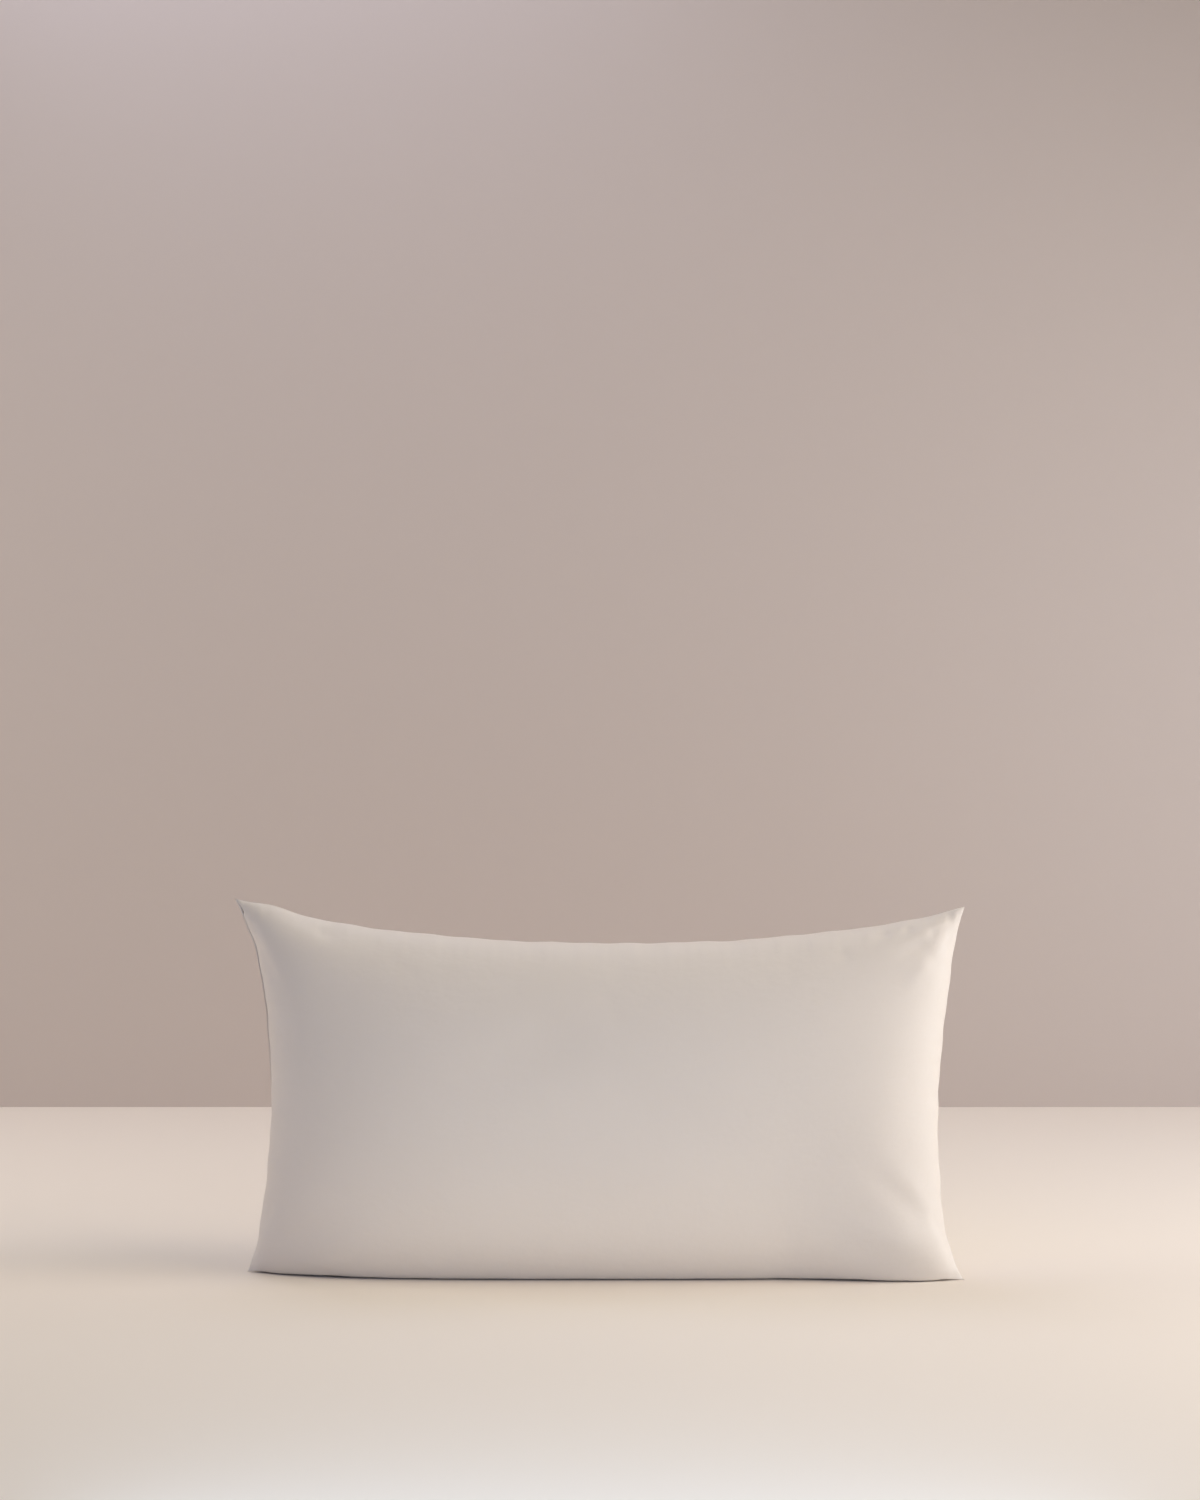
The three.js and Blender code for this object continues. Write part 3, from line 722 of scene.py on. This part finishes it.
# --------------------------------------------------------------------------------------------------------
# Case seams. Inside the two long seams and the right end the panels' allowances lie together, trimmed and
# overlocked: a needle thread runs along them and a looper thread wraps their raw edge.
ALLOWANCE = 0.007
ALLOWANCE_START = CLOTH + 2 * GAP
ALLOWANCE_STOP = 0.030   # how far the overlocking stops short of the corner tips
LOOP = 0.0026
stop_u = 1 - ALLOWANCE_STOP / (SPAN / 2)
stop_v = 1 - ALLOWANCE_STOP / (HEIGHT / 2)
SEAMS = {"bottom": (cells(-stop_u, stop_u, us, 181), -1.0), "top": (cells(-stop_u, stop_u, us, 181), 1.0),
         "end": (1.0, cells(-stop_v, stop_v, vs, 91))}
for name, (u, v) in SEAMS.items():
    u, v = np.broadcast_arrays(u, v)
    line = read_grid(case[FRONT], us, vs, u, v)
    inwards = -read_grid(outward[FRONT], us, vs, u, v)
    depth = np.linspace(ALLOWANCE_START, ALLOWANCE_START + ALLOWANCE, 5)[:, None, None]
    ply_middle = line + inwards * depth
    if name == "top":
        ply_middle = ply_middle[::-1]
    side_step = np.array((0.0, CLOTH, 0.0))
    seam_map = np.stack([np.broadcast_to(np.linspace(0, CUT_LENGTH, len(line)), ply_middle.shape[:2]),
                         np.broadcast_to(depth[..., 0], ply_middle.shape[:2])], -1)
    strip = shell(name + "_allowance", ply_middle - side_step, ply_middle + side_step, FRONT, seam_map)
    fit(strip, case_sateen, "overlock_thread", f"case_{name}_overlock")

    run = np.concatenate([[0.0], np.cumsum(np.linalg.norm(np.diff(line, axis=0), axis=1))])
    count = int(run[-1] / LOOP)
    at = np.arange(4 * count) * LOOP / 4
    in_by = ALLOWANCE_START + np.tile((0.0026, ALLOWANCE + 0.0001, 0.0026, ALLOWANCE + 0.0001), count)
    across = (CLOTH + THREAD / 2) * np.tile((-1.0, 0.0, 1.0, 0.0), count)
    base = np.stack([np.interp(at, run, line[:, k]) for k in range(3)], -1)
    inner_way = np.stack([np.interp(at, run, inwards[:, k]) for k in range(3)], -1)
    looper = base + inner_way * in_by[:, None] + across[:, None] * np.array((0.0, 1.0, 0.0))
    needles = []
    for face in (-1, 1):
        needle = line + inwards * (ALLOWANCE_START + 0.0026) + np.array((0.0, face * (CLOTH + THREAD), 0.0))
        needles.append(needle)
    fit(threads(name + "_overlocking", [looper, *needles], THREAD / 2), thread_white, "overlock_thread")


# --------------------------------------------------------------------------------------------------------
# Labels. A blank woven tape label lies inside the case's front panel at the open end, and another on the back
# of the insert at its other end, each sewn down all round.
LABEL = 0.0004
LABEL_LENGTH = 0.060
LABEL_WIDTH = 0.030
LABEL_RISE = 0.076
INSERT_INSET = 0.020
TICKING_DEPTH = {FRONT: CLOTH + 2 * GAP + LABEL, BACK: FLAP_TOP + CLOTH + GAP}
label_tape = textile("label_tape", (0.90, 0.90, 0.885), (0.84, 0.84, 0.82), 0.4, 1500, over=3.0,
                     thread=0.00005, crumple=0.0002, sheen=0.1, gloss=0.45)


def sewn_label(name, end, side, depth, node):
    """A woven label with stitches all round, near one end."""
    near = 1 - INSERT_INSET / (SPAN / 2)
    far = near - LABEL_LENGTH / (SPAN / 2)
    low = -1 + LABEL_RISE / (HEIGHT / 2)
    high = low + LABEL_WIDTH / (HEIGHT / 2)
    u, v = np.meshgrid(np.sort(end * np.linspace(near, far, 25)), np.linspace(low, high, 13))
    made = shell(name, under(side, u, v, depth), under(side, u, v, depth + LABEL), side, cloth_places(u, v))
    fit(made, label_tape, "label_tape", node)
    in_u, in_v = 0.0018 / (SPAN / 2), 0.0018 / (HEIGHT / 2)
    west, east, south, north = u.min() + in_u, u.max() - in_u, low + in_v, high - in_v
    around_u = np.concatenate([np.linspace(west, east, 60), np.full(30, east), np.linspace(east, west, 60),
                               np.full(30, west)])
    around_v = np.concatenate([np.full(60, south), np.linspace(south, north, 30), np.full(60, north),
                               np.linspace(north, south, 30)])
    line = under(side, around_u, around_v, depth + LABEL / 2)
    fit(stitches(name + "_stitches", line, 0.0002, read_grid(outward[side], us, vs, around_u, around_v)),
        thread_white, "overlock_thread")


sewn_label("case_label", -1, FRONT, CLOTH + GAP, "case_care_label")
sewn_label("insert_label", 1, BACK, TICKING_DEPTH[BACK] - GAP - LABEL, "insert_care_label")


# --------------------------------------------------------------------------------------------------------
# Insert cover. Two panels of close white cotton ticking are seamed all round with a piping between them: a
# bias strip of the ticking folded over a three-ply cotton cord.
PIPING = 0.0044
PIPING_SLIT = 80         # the angle over which the bias strip is open, towards the seam
CORD_PITCH = 0.013
ticking_cotton = textile("ticking_cotton", (0.90, 0.885, 0.86), (0.85, 0.835, 0.81), 0.75, 2200, over=3.0,
                         thread=0.00006, crumple=0.0009, sheen=0.15, gloss=0.25)
rim_u = 1 - INSERT_INSET / (SPAN / 2)
rim_v = 1 - INSERT_INSET / (HEIGHT / 2)
for side, name, lies_on in ((FRONT, "ticking_front", "fill_wrap_front"),
                            (BACK, "ticking_back", "fill_wrap_back")):
    u, v = np.meshgrid(cells(-rim_u, rim_u, us, 161), cells(-rim_v, rim_v, vs, 85))
    outer = under(side, u, v, TICKING_DEPTH[side], INSERT_INSET)
    inner = under(side, u, v, TICKING_DEPTH[side] + CLOTH, INSERT_INSET + CLOTH)
    panel = shell(name, outer, inner, side, cloth_places(u, v))
    fit(panel, ticking_cotton, "ticking_cloth", name + "_panel")


def rim_line(inset, depth, long_count, short_count):
    """The insert's seam all round, as a closed line of points with the filling on its left."""
    u_rim, v_rim = 1 - inset / (SPAN / 2), 1 - inset / (HEIGHT / 2)
    along_u, along_v = cells(-u_rim, u_rim, us, long_count), cells(-v_rim, v_rim, vs, short_count)
    still_u, still_v = np.full(short_count - 1, u_rim), np.full(long_count - 1, v_rim)
    u = np.concatenate([along_u[:-1], still_u, along_u[:0:-1], -still_u])
    v = np.concatenate([-still_v, along_v[:-1], still_v, along_v[:0:-1]])
    line = under(FRONT, u, v, depth, inset)
    line[:, 1] = middle(u, v)
    return line


def swept(name, line, sections):
    """A body with a section carried round a closed upright line. A section's points are (outwards, back)."""
    chord = np.roll(line, -1, axis=0) - line
    after = np.stack([chord[:, 2], -chord[:, 0]], -1)
    after /= np.linalg.norm(after, axis=1, keepdims=True)
    mitre = after + np.roll(after, 1, axis=0)
    mitre /= np.linalg.norm(mitre, axis=1, keepdims=True)
    mitre /= (mitre * after).sum(1, keepdims=True)
    outwards = np.stack([mitre[:, 0], np.zeros(len(line)), mitre[:, 1]], -1)
    points = line[:, None] + outwards[:, None] * sections[..., :1]
    points = points + np.array((0.0, 1.0, 0.0)) * sections[..., 1:]
    index = np.arange(points.shape[0] * points.shape[1]).reshape(points.shape[:2])
    turned, ahead = np.roll(index, -1, axis=1), np.roll(index, -1, axis=0)
    faces = np.stack([index, turned, np.roll(ahead, -1, axis=1), ahead], -1).reshape(-1, 4)
    made = object_from(name, points.reshape(-1, 3), faces)
    run = np.cumsum(np.linalg.norm(chord, axis=1))
    around = np.cumsum(np.linalg.norm(sections - np.roll(sections, 1, axis=1), axis=-1), axis=1)
    map_cloth(made.data, np.stack([np.broadcast_to(run[:, None], around.shape), around], -1).reshape(-1, 2))
    return made


def arc(centre, radius, from_angle, to_angle, count):
    angles = np.radians(np.linspace(from_angle, to_angle, count))
    return np.stack([centre + radius * np.cos(angles), radius * np.sin(angles)], -1)


piping_line = rim_line(INSERT_INSET, TICKING_DEPTH[FRONT], 211, 105)
piping_centre = GAP + PIPING / 2
open_to = 180 - PIPING_SLIT / 2
bias_section = np.concatenate([arc(piping_centre, PIPING / 2, -open_to, open_to, 15),
                               arc(piping_centre, PIPING / 2 - CLOTH, open_to, -open_to, 15)])
bias_sections = np.broadcast_to(bias_section, (len(piping_line), *bias_section.shape))
piping_bias = textile("piping_bias", (0.86, 0.83, 0.785), (0.80, 0.77, 0.72), 0.75, 2200, over=3.0,
                      thread=0.00006, crumple=0.0006, sheen=0.15, gloss=0.25)
fit(swept("piping_cover", piping_line, bias_sections), piping_bias, "piping_cloth", "insert_piping_cover")

cord_line = rim_line(INSERT_INSET, TICKING_DEPTH[FRONT], 421, 209)
cord_run = np.cumsum(np.linalg.norm(cord_line - np.roll(cord_line, 1, axis=0), axis=1))
turns = round(cord_run[-1] / CORD_PITCH)
angles = np.linspace(0, 2 * math.pi, 18, endpoint=False)
twist = angles[None] - 2 * math.pi * turns * cord_run[:, None] / cord_run[-1]
plies = (PIPING / 2 - CLOTH - GAP) * (0.80 + 0.20 * np.abs(np.cos(1.5 * twist)))
cord_sections = np.stack([piping_centre + plies * np.cos(angles), plies * np.sin(angles)], -1)
cord_cotton = textile("cord_cotton", (0.80, 0.75, 0.66), (0.70, 0.65, 0.56), 0.85, 1200, over=2.0,
                      thread=0.00008, crumple=0.0003, sheen=0.3, gloss=0.2)
fit(swept("piping_cord", cord_line, cord_sections), cord_cotton, "piping_cord", "insert_piping_cord")


# --------------------------------------------------------------------------------------------------------
# Filling. A needled polyester batt lies on each side, the two meeting at the rim, round a core of loose
# siliconised fibre. Both are lumpy to the touch.
FILL_INSET = 0.028
FILL_DEPTH = {side: TICKING_DEPTH[side] + CLOTH + 0.0005 for side in (FRONT, BACK)}
FILL_EDGE = 0.002
BATT = 0.022
CORE_INSET = 0.050
CORE_RADIUS = 0.060
CORE_EDGE = 0.001
LUMP = 0.003
shakes = np.random.default_rng(11)


def fibre(name, light, dark, tuft, depth, roughness):
    """Lofty fibre: tufts of one size under a haze of fine crossing strands, with painted shade in the hollows
    between them.
    """
    made = bpy.data.materials.new(name)
    made.use_nodes = True
    tree = made.node_tree
    shader = tree.nodes["Principled BSDF"]
    place = tree.nodes.new("ShaderNodeTexCoord").outputs["Object"]
    tufts = noise(tree, place, 1 / tuft, 3.0)
    strands = noise(tree, place, 420.0, 4.0, (1.0, 1.0, 5.0))
    crossing = noise(tree, place, 420.0, 4.0, (5.0, 1.0, 1.0))
    fine = sums(tree, "ADD", strands, crossing)
    # Painted shade: the colour turns towards dark where the tufts and strands dip, in the same hollows as the
    # relief below.
    shade = sums(tree, "ADD", sums(tree, "MULTIPLY", tufts, 0.7), sums(tree, "MULTIPLY", fine, 0.15))
    join(tree, mixed(tree, shade, (*dark, 1.0), (*light, 1.0)), shader.inputs["Base Color"])
    rough = sums(tree, "ADD", roughness - 0.05, sums(tree, "MULTIPLY", fine, 0.05))
    join(tree, rough, shader.inputs["Roughness"])
    height = sums(tree, "ADD", sums(tree, "MULTIPLY", tufts, depth), sums(tree, "MULTIPLY", fine, depth / 6))
    relief = tree.nodes.new("ShaderNodeBump")
    relief.inputs["Distance"].default_value = 1.0
    join(tree, height, relief.inputs["Height"])
    join(tree, relief.outputs[0], shader.inputs["Normal"])
    shader.inputs["Sheen Weight"].default_value = 0.5
    shader.inputs["Sheen Roughness"].default_value = 0.6
    shader.inputs["Specular IOR Level"].default_value = 0.2
    return made


def lumps(shape, reach):
    """Uneven swellings over a grid, from 0 to 1."""
    field = eased(shakes.random(shape), reach)
    return (field - field.min()) / (field.max() - field.min())


def over_core(side, u, v, gap):
    """The core's face, or with a gap the batt's face over it. Past the core's rim the two batts meet."""
    point = under(side, u, v, FILL_DEPTH[side], FILL_INSET, FILL_EDGE)
    end_room = (1 - np.abs(u)) * SPAN / 2 - CORE_INSET
    edge_room = (1 - np.abs(v)) * HEIGHT / 2 - CORE_INSET
    past = np.minimum(end_room, edge_room) < -1e-6
    near_edge = fullness(edge_room, CORE_RADIUS)
    full = np.maximum(side * (point[..., 1] - middle(u, v)) - BATT, 0)
    full = full * fullness(end_room, CORE_RADIUS) * near_edge
    point[..., 1] = middle(u, v) + side * np.where(past, GAP / 2, CORE_EDGE + full + gap)
    lowest = FILL_DEPTH[side] + (INSERT_LIFT + BATT) * (1 - near_edge) + GAP - gap
    point[..., 2] = np.where(past | (v >= 0), point[..., 2], np.maximum(point[..., 2], lowest))
    return point


batt_fibre = fibre("batt_fibre", (0.93, 0.93, 0.92), (0.80, 0.80, 0.78), 0.020, 0.0016, 0.95)
rim_u = 1 - FILL_INSET / (SPAN / 2)
rim_v = 1 - FILL_INSET / (HEIGHT / 2)
for side, name in ((FRONT, "fill_wrap_front"), (BACK, "fill_wrap_back")):
    u, v = np.meshgrid(cells(-rim_u, rim_u, us, 121), cells(-rim_v, rim_v, vs, 65))
    outer = under(side, u, v, FILL_DEPTH[side] + LUMP * lumps(u.shape, 2), FILL_INSET, FILL_EDGE)
    batt = shell(name + "_batt", outer, over_core(side, u, v, GAP), side, cloth_places(u, v))
    fit(batt, batt_fibre, "fibre_wrap", name)

core_fibre = fibre("core_fibre", (0.95, 0.95, 0.945), (0.74, 0.74, 0.73), 0.028, 0.0030, 0.95)
rim_u = 1 - CORE_INSET / (SPAN / 2)
rim_v = 1 - CORE_INSET / (HEIGHT / 2)
u, v = np.meshgrid(cells(-rim_u, rim_u, us, 111), cells(-rim_v, rim_v, vs, 57))
core_faces = {}
for side in (FRONT, BACK):
    face = over_core(side, u, v, 0.0)
    half = side * (face[..., 1] - middle(u, v)) - CORE_EDGE
    face[..., 1] -= side * half * 0.10 * lumps(u.shape, 2)
    core_faces[side] = face
core = shell("fill_core_fibre", core_faces[FRONT], core_faces[BACK], FRONT, cloth_places(u, v))
fit(core, core_fibre, "fibre_core", "fill_core")
